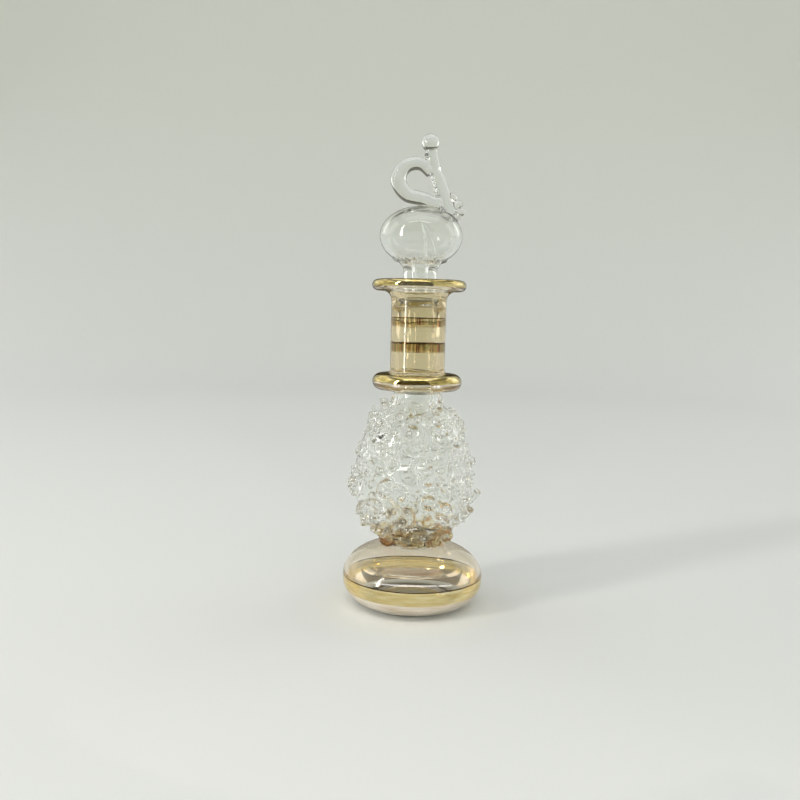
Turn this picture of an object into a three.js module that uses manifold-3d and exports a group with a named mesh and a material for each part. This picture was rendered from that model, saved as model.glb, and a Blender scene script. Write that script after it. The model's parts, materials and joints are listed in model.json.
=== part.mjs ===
// A small lamp-blown glass perfume flask with a lift-out stopper, in millimetres, +Z up.
// The origin is the centre of the foot's underside. Seen from -Y, the stopper's loop is on the left.
// The flask is one piece of glass, blown hollow from the mouth through the body into the foot, with a crust
// of fused glass bits round its body. The stopper is a second piece, which rests in the mouth. Its bulb is a
// sealed bubble and stands here as a solid.
import * as THREE from "three";
import { mergeVertices } from "three/addons/utils/BufferGeometryUtils.js";
import Module from "manifold-3d";

const wasm = await Module();
wasm.setup();

// Foot, a flattened bubble
const FOOT_RADIUS = 15.8;
const FOOT_HALF_HEIGHT = 8.1; // of the whole bubble, before its underside is flattened
const FOOT_FLATTENED_BY = 1.8; // how much of the bubble's lower pole is pressed flat
const FOOT_BLUNTNESS = 2.25; // exponent of the bubble's superellipse; 2 is an ellipse
const REST_RING_WIDTH = 2.0; // the flat ring that the flask stands on
const KICK_UP = 1.2; // rise of the hollow underside inside that ring
const KICK_FLAT = 0.7; // share of the ring's inner radius over which the underside is nearly level
const FOOT_WALL = 1.1;

// Waist, where the foot joins the body
const WAIST_RADIUS = 5.2;
const WAIST_FILLET = 1.4; // how far the neighbouring walls stand out past the waist
const WAIST_BORE = 3.0; // radius of the passage from the body to the foot
const WAIST_SINK = 0.1; // depth of the body's lower pole in the foot's upper one

// Body, an egg with a blunt lower end
const BODY_RADIUS = 12.9;
const BODY_LOWER_HALF = 13.6;
const BODY_UPPER_HALF = 19.5;
const BODY_BLUNTNESS = 2.3; // exponent of the lower end's superellipse; 2 is an ellipse
const BODY_WALL = 1.1;

// Neck, a tube above a thinner root
const NECK_RADIUS = 6.05;
const NECK_ROOT_RADIUS = 4.9;
const NECK_BORE = 4.2;
const ROOT_WALL = 1.1;
const NECK_HEIGHT = 20.0; // from the collar's middle to the lip's underside
const SHOULDER_RADIUS = 7.0; // where the body's egg turns into the neck's root
const ROOT_HEIGHT = 6.1; // from there to the collar's middle

// Collar round the foot of the neck
const COLLAR_RADIUS = 9.9;
const COLLAR_THICKNESS = 3.6;
const COLLAR_FILLET = 0.9;

// Lip, a folded rim
const LIP_RADIUS = 10.35;
const LIP_THICKNESS = 2.4;
const LIP_FLARE = 2.6; // height and reach of the curve from the neck into the lip
const MOUTH_RADIUS = 6.4; // of the cone at the lip's top
const MOUTH_DEPTH = 3.9; // of the cone, down to the throat
const THROAT_RADIUS = 3.4; // narrowest place, where the stopper seats
const THROAT_OPENS = 2.2; // depth over which the throat widens to the bore

// Crust of glass bits on the body
const BIT_COUNT = 40;
const BIT_THREAD = [0.55, 0.75]; // thread radius, least and most
const BIT_BEND = [0.9, 1.7]; // radius that the thread is bent to
const BIT_LENGTH = [2.4, 4.2];
const BIT_TILT = [0.3, 1.3]; // radians that a bit's plane stands up from the glass
const BIT_SINK = 0.15; // depth of the thread's middle below the bare glass
const CRUST_FROM = 0.05; // share of the way up from the waist to the shoulder
const CRUST_TO = 0.93;
const CRUST_SCATTER = 0.3; // radians that a bit strays at most from its even place
const CRUST_SEED = 4341; // of the dice that place and bend the bits

// Stopper, a stem with a bulb
const STEM_RADIUS = 3.6; // above the mouth
const STEM_SHOWN = 3.0; // from the lip's top up to the bulb
const SEAT_GAP = 0.2; // between the stem's cone and the mouth's
const DIP_GAP = 0.35; // between the dip rod and the throat
const DIP_REACH = 29.0; // from the lip's top down to the rod's tip
const BULB_RADIUS = 9.05;
const BULB_HALF_HEIGHT = 6.5;
const BULB_FILLET = 1.6; // where the stem opens into the bulb

// Finial, a trailed thread on the bulb that loops round and ends in a leaning rod with a ball
const FINIAL_HEIGHT = 15.6; // from the bulb's top to the top of the ball
const TRAIL_RADIUS = 1.8;
const ROD_RADIUS = 1.5;
const BALL_RADIUS = 1.95;
const PRONG_RADIUS = 0.75;

const FLASK_SIDES = 30;
const STOPPER_SIDES = 22;
const TRAIL_SIDES = 10;
const BIT_SIDES = 5;
const MERGE_WITHIN = 1e-4; // distance at which two corners of a face mesh are one

// Heights that follow from the sizes above
const footCentre = FOOT_HALF_HEIGHT - FOOT_FLATTENED_BY;
const footTop = footCentre + FOOT_HALF_HEIGHT;
const bodyCentre = footTop - WAIST_SINK + BODY_LOWER_HALF;
const shoulderHeight = bodyCentre + heightAt(SHOULDER_RADIUS, BODY_RADIUS, BODY_UPPER_HALF, 2);
const collarHeight = shoulderHeight + ROOT_HEIGHT;
const lipUnderside = collarHeight + NECK_HEIGHT;
const lipTop = lipUnderside + LIP_THICKNESS;
const bulbBottom = lipTop + STEM_SHOWN;
const bulbCentre = bulbBottom + BULB_HALF_HEIGHT;
const bulbTop = bulbCentre + BULB_HALF_HEIGHT;

// Height above a superellipse's centre at which it has the given radius.
function heightAt(radius, widest, half, power) {
  return half * (1 - (radius / widest) ** power) ** (1 / power);
}

// Polar angles at which a superellipse has the given radius or height.
const angleOfRadius = (radius, widest, power) => Math.acos((radius / widest) ** (power / 2));
const angleOfHeight = (height, half, power) => Math.asin((height / half) ** (power / 2));

// Height of the mouth's cone where it has the given radius, also past its ends.
function mouthHeight(radius) {
  return lipTop - (MOUTH_DEPTH * (MOUTH_RADIUS - radius)) / (MOUTH_RADIUS - THROAT_RADIUS);
}

const at = (radius, height) => new THREE.Vector2(radius, height);

// Points on a superellipse, from one polar angle to another, both ends included.
function arc(centreR, centreZ, halfR, halfZ, from, to, steps, power = 2) {
  const bent = (value) => Math.sign(value) * Math.abs(value) ** (2 / power);
  return Array.from({ length: steps + 1 }, (_, i) => {
    const a = from + ((to - from) * i) / steps;
    return at(centreR + halfR * bent(Math.cos(a)), centreZ + halfZ * bent(Math.sin(a)));
  });
}

// Points on a quadratic curve from a to b, without a and b.
function bend(a, control, b, steps) {
  return new THREE.QuadraticBezierCurve(a, control, b).getPoints(steps).slice(1, -1);
}

// Outline of the flask's outside, from the middle of its underside up to the lip's top.
function flaskOutside() {
  const flat = -angleOfHeight(footCentre, FOOT_HALF_HEIGHT, FOOT_BLUNTNESS);
  const ringInner = FOOT_RADIUS * Math.cos(flat) ** (2 / FOOT_BLUNTNESS) - REST_RING_WIDTH;
  const beside = WAIST_RADIUS + WAIST_FILLET;
  const footAngle = angleOfRadius(beside, FOOT_RADIUS, FOOT_BLUNTNESS);
  const footEnd = at(beside, footCentre + heightAt(beside, FOOT_RADIUS, FOOT_HALF_HEIGHT, FOOT_BLUNTNESS));
  const bodyStart = at(beside, bodyCentre - heightAt(beside, BODY_RADIUS, BODY_LOWER_HALF, BODY_BLUNTNESS));
  const waist = at(WAIST_RADIUS - WAIST_FILLET, (footEnd.y + bodyStart.y) / 2);
  const bodyAngle = -angleOfRadius(beside, BODY_RADIUS, BODY_BLUNTNESS);
  const shoulderAngle = angleOfRadius(SHOULDER_RADIUS, BODY_RADIUS, 2);
  const edge = COLLAR_THICKNESS / 2;
  const rootTop = at(NECK_ROOT_RADIUS, collarHeight - edge - COLLAR_FILLET);
  const shoulder = at(SHOULDER_RADIUS, shoulderHeight);
  const flareFoot = at(NECK_RADIUS, lipUnderside - LIP_FLARE);
  const flareEnd = at(NECK_RADIUS + LIP_FLARE, lipUnderside);
  const fold = LIP_THICKNESS / 2;
  return [
    at(0, KICK_UP),
    ...bend(at(0, KICK_UP), at(ringInner * KICK_FLAT, KICK_UP), at(ringInner, 0), 3),
    at(ringInner, 0),
    ...arc(0, footCentre, FOOT_RADIUS, FOOT_HALF_HEIGHT, flat, footAngle, 9, FOOT_BLUNTNESS),
    ...bend(footEnd, waist, bodyStart, 3),
    ...arc(0, bodyCentre, BODY_RADIUS, BODY_LOWER_HALF, bodyAngle, 0, 6, BODY_BLUNTNESS),
    ...arc(0, bodyCentre, BODY_RADIUS, BODY_UPPER_HALF, 0, shoulderAngle, 5).slice(1),
    ...bend(shoulder, at(NECK_ROOT_RADIUS, (shoulder.y + rootTop.y) / 2), rootTop, 3),
    rootTop,
    at(NECK_ROOT_RADIUS + COLLAR_FILLET, collarHeight - edge),
    ...arc(COLLAR_RADIUS - edge, collarHeight, edge, edge, -Math.PI / 2, Math.PI / 2, 7),
    at(NECK_RADIUS + COLLAR_FILLET, collarHeight + edge),
    at(NECK_RADIUS, collarHeight + edge + COLLAR_FILLET),
    flareFoot,
    ...bend(flareFoot, at(NECK_RADIUS, lipUnderside), flareEnd, 3),
    flareEnd,
    ...arc(LIP_RADIUS - fold, lipUnderside + fold, fold, fold, -Math.PI / 2, Math.PI / 2, 7),
  ];
}

// Outline of the flask's inside, from the mouth down to the middle of the foot's floor.
function flaskInside() {
  const bodyInner = BODY_RADIUS - BODY_WALL;
  const upper = BODY_UPPER_HALF - BODY_WALL;
  const lower = BODY_LOWER_HALF - BODY_WALL;
  const shoulder = at(SHOULDER_RADIUS - BODY_WALL, 0);
  shoulder.y = bodyCentre + heightAt(shoulder.x, bodyInner, upper, 2);
  const shoulderAngle = angleOfRadius(shoulder.x, bodyInner, 2);
  const edge = COLLAR_THICKNESS / 2;
  const throat = at(THROAT_RADIUS, mouthHeight(THROAT_RADIUS));
  const boreTop = at(NECK_BORE, throat.y - THROAT_OPENS);
  const boreFoot = at(NECK_BORE, collarHeight + edge);
  const rootBore = at(NECK_ROOT_RADIUS - ROOT_WALL, collarHeight - edge - COLLAR_FILLET);
  const waistAngle = -angleOfRadius(WAIST_BORE, bodyInner, BODY_BLUNTNESS);
  const footInner = FOOT_RADIUS - FOOT_WALL;
  const footHalf = FOOT_HALF_HEIGHT - FOOT_WALL;
  const footAngle = angleOfRadius(WAIST_BORE, footInner, FOOT_BLUNTNESS);
  const floorAngle = -angleOfHeight(footCentre - FOOT_WALL, footHalf, FOOT_BLUNTNESS);
  const kick = at(footInner * Math.cos(floorAngle) ** (2 / FOOT_BLUNTNESS) - REST_RING_WIDTH, FOOT_WALL);
  const floorMiddle = at(0, KICK_UP + FOOT_WALL);
  return [
    at(MOUTH_RADIUS, lipTop),
    throat,
    boreTop,
    boreFoot,
    ...bend(boreFoot, at(NECK_BORE, collarHeight), rootBore, 2),
    rootBore,
    ...bend(rootBore, at(rootBore.x, (rootBore.y + shoulder.y) / 2), shoulder, 2),
    ...arc(0, bodyCentre, bodyInner, upper, shoulderAngle, 0, 4),
    ...arc(0, bodyCentre, bodyInner, lower, 0, waistAngle, 6, BODY_BLUNTNESS).slice(1),
    ...arc(0, footCentre, footInner, footHalf, footAngle, floorAngle, 8, FOOT_BLUNTNESS),
    ...bend(kick, at(kick.x * KICK_FLAT, floorMiddle.y), floorMiddle, 3),
    floorMiddle,
  ];
}

// Radius and outward slope of the bare body at a height.
function bodyAt(z) {
  const below = z < bodyCentre;
  const half = below ? BODY_LOWER_HALF : BODY_UPPER_HALF;
  const power = below ? BODY_BLUNTNESS : 2;
  const share = Math.abs(z - bodyCentre) / half;
  const radius = BODY_RADIUS * (1 - share ** power) ** (1 / power);
  const steepness = ((share * BODY_RADIUS) / radius) ** (power - 1) * (BODY_RADIUS / half);
  return { radius, slope: Math.sign(z - bodyCentre) * steepness };
}

// Numbers from 0 to 1, the same on every run.
function dice(seed) {
  let state = seed;
  return () => {
    state = (state * 48271) % 2147483647;
    return state / 2147483647;
  };
}

// One fused bit: a short round thread, bent in an arc that leans out of the body's glass.
function crustBit(index, roll) {
  const between = ([least, most]) => least + (most - least) * roll();
  const share = CRUST_FROM + ((CRUST_TO - CRUST_FROM) * (index + 0.5)) / BIT_COUNT;
  const z = footTop + (shoulderHeight - footTop) * share;
  const around = index * Math.PI * (3 - Math.sqrt(5)) + CRUST_SCATTER * roll();
  const { radius, slope } = bodyAt(z);
  const outward = new THREE.Vector3(Math.cos(around), Math.sin(around), slope).normalize();
  const level = new THREE.Vector3(-Math.sin(around), Math.cos(around), 0);
  const upward = new THREE.Vector3().crossVectors(outward, level);
  const turn = 2 * Math.PI * roll();
  const along = level.clone().multiplyScalar(Math.cos(turn)).addScaledVector(upward, Math.sin(turn));
  const across = new THREE.Vector3().crossVectors(outward, along);
  const tilt = between(BIT_TILT);
  const side = across.clone().multiplyScalar(Math.cos(tilt)).addScaledVector(outward, Math.sin(tilt));
  const thread = between(BIT_THREAD);
  const bendRadius = between(BIT_BEND);
  const sweep = between(BIT_LENGTH) / bendRadius;
  const middle = new THREE.Vector3(radius * Math.cos(around), radius * Math.sin(around), z);
  middle.addScaledVector(outward, -BIT_SINK);
  const steps = 3;
  const points = Array.from({ length: steps + 1 }, (_, i) => {
    const a = sweep * (i / steps - 0.5);
    const p = middle.clone().addScaledVector(along, bendRadius * Math.sin(a));
    return p.addScaledVector(side, bendRadius * (1 - Math.cos(a)));
  });
  return tube(points, thread, BIT_SIDES, steps);
}

// Outline of the stopper's stem and bulb, from the dip rod's tip up to the bulb's top.
function stopperOutline() {
  const dip = THROAT_RADIUS - DIP_GAP;
  const tip = lipTop - DIP_REACH;
  const opening = at(STEM_RADIUS, bulbBottom - BULB_FILLET);
  const angle = -Math.acos((STEM_RADIUS + BULB_FILLET) / BULB_RADIUS);
  const bulbStart = at(BULB_RADIUS * Math.cos(angle), bulbCentre + BULB_HALF_HEIGHT * Math.sin(angle));
  return [
    ...arc(0, tip + dip, dip, dip, -Math.PI / 2, 0, 4),
    at(dip, mouthHeight(dip + SEAT_GAP)),
    at(STEM_RADIUS, mouthHeight(STEM_RADIUS + SEAT_GAP)),
    opening,
    ...bend(opening, at(STEM_RADIUS, bulbStart.y), bulbStart, 3),
    ...arc(0, bulbCentre, BULB_RADIUS, BULB_HALF_HEIGHT, angle, Math.PI / 2, 14),
  ];
}

// The finial's limbs lie in the XZ plane. Their points are shares of its height, from the bulb's top.
function finial() {
  const spot = (x, z) => new THREE.Vector3(x * FINIAL_HEIGHT, 0, bulbTop + z * FINIAL_HEIGHT);
  const trail = [
    spot(0.27, 0.02),
    spot(0.02, 0.11),
    spot(-0.22, 0.16),
    spot(-0.32, 0.36),
    spot(-0.22, 0.53),
    spot(-0.03, 0.55),
    spot(0.1, 0.46),
  ];
  const rod = [spot(0.42, -0.12), spot(0.33, 0.08), spot(0.22, 0.33), spot(0.14, 0.55), spot(0.1, 0.86)];
  const ball = new THREE.SphereGeometry(BALL_RADIUS, 14, 9);
  ball.translate(...spot(0.1, 1).setZ(bulbTop + FINIAL_HEIGHT - BALL_RADIUS));
  const prongs = [spot(0.5, 0.02), spot(0.52, -0.07), spot(0.44, 0.09)];
  return [
    tube(trail, TRAIL_RADIUS, TRAIL_SIDES, 18),
    tube(rod, ROD_RADIUS, TRAIL_SIDES, 7),
    solidOf(ball),
    ...prongs.map((end) => tube([spot(0.36, -0.04), end], PRONG_RADIUS, 6, 1)),
  ];
}

// A closed round tube along a smooth curve through points, with flat ends.
function tube(points, radius, sides, steps) {
  const section = new THREE.Shape(
    Array.from({ length: sides }, (_, i) => {
      const a = (2 * Math.PI * i) / sides;
      return at(radius * Math.cos(a), radius * Math.sin(a));
    }),
  );
  const path = new THREE.CatmullRomCurve3(points);
  return solidOf(new THREE.ExtrudeGeometry(section, { steps, extrudePath: path }));
}

// An outline of (radius, height) points turned round the Z axis.
function turned(outline, sides) {
  return solidOf(new THREE.LatheGeometry(outline, sides).rotateX(Math.PI / 2));
}

// A closed geometry as a solid, with its shared vertices merged.
function solidOf(geometry) {
  geometry.deleteAttribute("normal");
  geometry.deleteAttribute("uv");
  const merged = mergeVertices(geometry, MERGE_WITHIN);
  const vertProperties = merged.attributes.position.array;
  const triVerts = new Uint32Array(merged.index.array);
  return new wasm.Manifold(new wasm.Mesh({ numProp: 3, vertProperties, triVerts }));
}

// A solid as a named mesh with its own material.
function meshOf(name, solid, look) {
  const { vertProperties, triVerts } = solid.getMesh();
  const geometry = new THREE.BufferGeometry()
    .setAttribute("position", new THREE.BufferAttribute(new Float32Array(vertProperties), 3))
    .setIndex(new THREE.BufferAttribute(new Uint32Array(triVerts), 1));
  geometry.computeVertexNormals();
  const mesh = new THREE.Mesh(geometry, new THREE.MeshStandardMaterial(look));
  mesh.name = name;
  return mesh;
}

function flask() {
  const bare = turned([...flaskOutside(), ...flaskInside()], FLASK_SIDES);
  const roll = dice(CRUST_SEED);
  const bits = Array.from({ length: BIT_COUNT }, (_, i) => crustBit(i, roll));
  return bits.reduce((whole, bit) => whole.add(bit), bare);
}

function stopper() {
  return finial().reduce((whole, limb) => whole.add(limb), turned(stopperOutline(), STOPPER_SIDES));
}

const glass = { roughness: 0.05, metalness: 0, transparent: true, opacity: 0.45 };
const group = new THREE.Group();
group.add(meshOf("flask", flask(), { color: 0xd9cba2, ...glass }));
group.add(meshOf("stopper", stopper(), { color: 0xe8ece6, ...glass }));
export default group;
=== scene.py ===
# %% [markdown]
# # A blown perfume flask with gold bands
# The real object is a small scent flask, blown at a burner from borosilicate glass tube. It has a hollow
# foot, an egg-shaped body in a crust of fused glass threads, a ringed neck and a loose glass stopper.
# Glass has almost no colour of its own. What the eye sees is what the glass bends and mirrors, so the
# shapes, the true walls and the light round the object have to be right before any material looks right.

import json
import math
import random

import bmesh
import bpy
from mathutils import Matrix, Vector
from mathutils.geometry import interpolate_bezier

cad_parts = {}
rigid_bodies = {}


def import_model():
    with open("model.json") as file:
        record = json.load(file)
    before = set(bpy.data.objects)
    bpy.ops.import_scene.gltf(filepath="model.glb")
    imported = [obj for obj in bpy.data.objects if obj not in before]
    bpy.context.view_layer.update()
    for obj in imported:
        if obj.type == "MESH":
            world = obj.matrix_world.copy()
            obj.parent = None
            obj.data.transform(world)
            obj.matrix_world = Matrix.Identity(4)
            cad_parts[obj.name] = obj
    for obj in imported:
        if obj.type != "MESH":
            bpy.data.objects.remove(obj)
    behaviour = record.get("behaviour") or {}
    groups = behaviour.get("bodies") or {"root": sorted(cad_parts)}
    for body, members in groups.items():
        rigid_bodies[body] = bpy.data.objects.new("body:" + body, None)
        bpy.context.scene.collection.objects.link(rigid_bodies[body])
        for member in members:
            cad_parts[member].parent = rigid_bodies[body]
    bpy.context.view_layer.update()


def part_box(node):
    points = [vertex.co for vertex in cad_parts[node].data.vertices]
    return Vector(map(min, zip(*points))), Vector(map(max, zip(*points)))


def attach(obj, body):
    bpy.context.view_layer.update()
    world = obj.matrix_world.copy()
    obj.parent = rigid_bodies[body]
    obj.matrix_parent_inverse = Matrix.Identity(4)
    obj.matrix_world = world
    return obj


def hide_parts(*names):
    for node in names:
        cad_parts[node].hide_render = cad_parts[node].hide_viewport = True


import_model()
flask_low, flask_high = (Vector(corner) * 1000 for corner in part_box("flask"))
stopper_low, stopper_high = (Vector(corner) * 1000 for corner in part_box("stopper"))
print("flask, mm:", [round(v, 2) for v in (*flask_low, *flask_high)])
print("stopper, mm:", [round(v, 2) for v in (*stopper_low, *stopper_high)])

# %% [markdown]
# ## Camera
# The camera comes first, because everything after it is judged through it. It stands where a phone was
# held: close to the flask, a little over half its height, and tipped down until the stage's floor fills
# the lower half of the picture. A small roll gives the flask its lean in the frame, while it stands
# upright.

# %% Set up the camera
CAMERA_PLACE = (-0.00367, -0.189, 0.065)
CAMERA_TIP_DOWN = 5.7
CAMERA_ROLL = 1.34
FOCAL_PIXELS = 850
FRAME_PIXELS = 800

lens = bpy.data.cameras.new("phone")
lens.sensor_width = 36
lens.lens = lens.sensor_width * FOCAL_PIXELS / FRAME_PIXELS
lens.clip_start = 0.01
lens.clip_end = 20
camera = bpy.data.objects.new("phone", lens)
camera.matrix_world = (
    Matrix.Translation(CAMERA_PLACE)
    @ Matrix.Rotation(math.radians(90 - CAMERA_TIP_DOWN), 4, "X")
    @ Matrix.Rotation(math.radians(CAMERA_ROLL), 4, "Z")
)
bpy.context.scene.collection.objects.link(camera)
bpy.context.scene.camera = camera
print("lens", round(lens.lens, 2), "mm")

# %% [markdown]
# ## Sizes
# The frame gives the outer sizes, and the rest are the glassblower's: wall, bore, ring and fold. They are
# in millimetres, as a workshop would have them, and become metres only where a vertex is made.

# %% Sizes in millimetres
MM = 0.001

FOOT_RADIUS = flask_high.y
FOOT_HALF = 8.1
FOOT_CENTRE = 6.3
FOOT_POWER = 2.25
FOOT_WALL = 1.1
REST_RING = 2.0
KICK = 1.2

BODY_RADIUS = 12.9
BODY_LOWER = 13.6
BODY_UPPER = 19.5
BODY_POWER = 2.3
BODY_WALL = 1.1
BODY_SINK = 0.1
BODY_CENTRE = FOOT_CENTRE + FOOT_HALF - BODY_SINK + BODY_LOWER

WAIST_RADIUS = 5.2
WAIST_FILLET = 1.4
WAIST_BORE = 3.0

LIP_TOP = flask_high.z
LIP_THICKNESS = 2.4
LIP_RADIUS = 10.35
LIP_FLARE = 2.6
MOUTH_RADIUS = 6.4
MOUTH_DEPTH = 3.9
THROAT_RADIUS = 3.4
NECK_RADIUS = 6.05
NECK_BORE = 4.2
NECK_LENGTH = 20.0
COLLAR_HEIGHT = LIP_TOP - LIP_THICKNESS - NECK_LENGTH
COLLAR_RADIUS = 9.9
COLLAR_HALF = 1.8
COLLAR_FILLET = 0.9
ROOT_RADIUS = 4.9
ROOT_BORE = 3.8
SHOULDER_RADIUS = 7.0
print("collar at", round(COLLAR_HEIGHT, 2), "and lip at", round(LIP_TOP, 2), "mm")

# %% [markdown]
# ## Outlines
# Every blown and turned form here is a surface of revolution, so it starts as half of its section: arcs of
# superellipses for the bubbles, and short soft bends where one form melts into the next. The flame rounds
# every edge, so no outline has a corner that shows.

# %% Outline helpers
def arc(centre_r, centre_z, half_r, half_z, start, end, steps, power=2.0):
    """Points on a superellipse between two polar angles, both ends included, as (radius, height) in mm."""
    def bent(value):
        return math.copysign(abs(value) ** (2 / power), value)

    angles = [start + (end - start) * i / steps for i in range(steps + 1)]
    return [(centre_r + half_r * bent(math.cos(a)), centre_z + half_z * bent(math.sin(a))) for a in angles]


def bend(a, control, b, steps):
    """Points on a quadratic curve from a to b, without its two ends."""
    shares = [i / steps for i in range(1, steps)]
    return [
        tuple((1 - t) ** 2 * p + 2 * t * (1 - t) * q + t * t * r for p, q, r in zip(a, control, b))
        for t in shares
    ]


def angle_of_radius(radius, widest, power):
    """The angle at which a superellipse has a given radius."""
    return math.acos((radius / widest) ** (power / 2))


def angle_of_height(height, half, power):
    """The angle at which it has a given height over its middle."""
    return math.asin((height / half) ** (power / 2))


def height_at(radius, widest, half, power):
    """Its height over its middle at a given radius."""
    return half * (1 - (radius / widest) ** power) ** (1 / power)


# %% [markdown]
# The foot is a bubble pressed flat on the bench. Its gold band has clean edges, so the outline gets a
# point at each edge, and the faces between two such points take the gold. One more point just under the
# upper edge bounds a thin painted dark shade line.

# %% The foot's outline
FOOT_BAND = (3.9, 7.15)
# The width of the thin dark line painted as shade along each gold band's upper edge.
PAINTED_LINE_WIDTH = 0.26


def foot_point(height):
    share = abs(height - FOOT_CENTRE) / FOOT_HALF
    return (FOOT_RADIUS * (1 - share ** FOOT_POWER) ** (1 / FOOT_POWER), height)


def foot_outside():
    flat = -angle_of_height(FOOT_CENTRE, FOOT_HALF, FOOT_POWER)
    beside = angle_of_radius(WAIST_RADIUS + WAIST_FILLET, FOOT_RADIUS, FOOT_POWER)
    curve = arc(0, FOOT_CENTRE, FOOT_RADIUS, FOOT_HALF, flat, beside, 48, FOOT_POWER)
    edges = [foot_point(h) for h in (FOOT_BAND[0], FOOT_BAND[1], FOOT_BAND[1] - PAINTED_LINE_WIDTH)]
    kept = [p for p in curve if all(math.dist(p, e) > 0.12 for e in edges)]
    return sorted(kept + edges, key=lambda p: p[1])


print("foot:", len(foot_outside()), "points")

# %% [markdown]
# The egg and the neck's root follow. A sink value pulls them inwards for the bare flask, because the crust
# brings its own skin there.

# %% The outline from the waist to the neck's root
def body_outside(sink=0.0):
    beside = WAIST_RADIUS + WAIST_FILLET - sink
    egg, upper, lower = BODY_RADIUS - sink, BODY_UPPER - sink, BODY_LOWER - sink
    root = ROOT_RADIUS - sink
    shoulder_r = SHOULDER_RADIUS - sink
    body_start = (beside, BODY_CENTRE - height_at(beside, egg, lower, BODY_POWER))
    shoulder = (shoulder_r, BODY_CENTRE + height_at(shoulder_r, egg, upper, 2))
    root_top = (root, COLLAR_HEIGHT - COLLAR_HALF - COLLAR_FILLET)
    foot_end = (beside, FOOT_CENTRE + height_at(beside, FOOT_RADIUS, FOOT_HALF, FOOT_POWER))
    waist = (WAIST_RADIUS - WAIST_FILLET - sink, (foot_end[1] + body_start[1]) / 2)
    low_angle = -angle_of_radius(beside, egg, BODY_POWER)
    return [
        foot_end,
        *bend(foot_end, waist, body_start, 10),
        *arc(0, BODY_CENTRE, egg, lower, low_angle, 0, 22, BODY_POWER),
        *arc(0, BODY_CENTRE, egg, upper, 0, angle_of_radius(shoulder_r, egg, 2), 22)[1:],
        *bend(shoulder, (root, (shoulder[1] + root_top[1]) / 2), root_top, 10),
        root_top,
    ]


print("body:", len(body_outside()), "points")

# %% [markdown]
# The collar is a ring melted onto the tube, and the lip is the tube's end, flared and folded back on
# itself. The neck's outline has a point at each edge of its two streaked bands, and one more just under each
# upper edge for the painted dark shade line.

# %% The outline from the collar to the lip
NECK_BANDS = [(57.0, 59.1), (63.0, 64.6)]


def neck_outside():
    under = (ROOT_RADIUS + 1.6, COLLAR_HEIGHT - COLLAR_HALF)
    above = (NECK_RADIUS + COLLAR_FILLET, COLLAR_HEIGHT + COLLAR_HALF)
    neck_foot = (NECK_RADIUS, COLLAR_HEIGHT + COLLAR_HALF + COLLAR_FILLET)
    lip_under = LIP_TOP - LIP_THICKNESS
    flare_foot = (NECK_RADIUS, lip_under - LIP_FLARE)
    flare_end = (NECK_RADIUS + LIP_FLARE, lip_under)
    fold = LIP_THICKNESS / 2
    bands = sorted({h for low, high in NECK_BANDS for h in (low, high - PAINTED_LINE_WIDTH, high)})
    ring = (COLLAR_RADIUS - COLLAR_HALF, COLLAR_HEIGHT, COLLAR_HALF, COLLAR_HALF)
    return [
        under,
        *arc(*ring, -math.pi / 2, math.pi / 2, 26),
        above,
        *bend(above, (NECK_RADIUS, above[1]), neck_foot, 5),
        neck_foot,
        *((NECK_RADIUS, h) for h in bands),
        flare_foot,
        *bend(flare_foot, (NECK_RADIUS, lip_under), flare_end, 9),
        flare_end,
        *arc(LIP_RADIUS - fold, lip_under + fold, fold, fold, -math.pi / 2, math.pi / 2, 20),
    ]


print("neck:", len(neck_outside()), "points")

# %% [markdown]
# Inside, the mouth narrows in a cone to a throat, where the stopper seats. Below it the neck's tube opens
# again, and the hollow runs down through the body and the waist into the foot.

# %% The hollow's outline
THROAT_HEIGHT = LIP_TOP - MOUTH_DEPTH
BORE_SPLIT = 58.0


def mouth_inside():
    """From the lip's inner edge down the seat's cone and into the bore."""
    rim = (MOUTH_RADIUS + 1.2, LIP_TOP - 0.03)
    cone = (MOUTH_RADIUS - 0.5, LIP_TOP - 0.65)
    throat = (THROAT_RADIUS, THROAT_HEIGHT)
    bore = (NECK_BORE, THROAT_HEIGHT - 2.2)
    return [
        rim,
        *bend(rim, (MOUTH_RADIUS + 0.1, LIP_TOP), cone, 6),
        cone,
        *bend(cone, (THROAT_RADIUS, THROAT_HEIGHT + 1.2), throat, 8),
        throat,
        *bend(throat, (THROAT_RADIUS + 0.3, THROAT_HEIGHT - 1.6), bore, 6),
        bore,
        (NECK_BORE, BORE_SPLIT),
    ]


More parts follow.
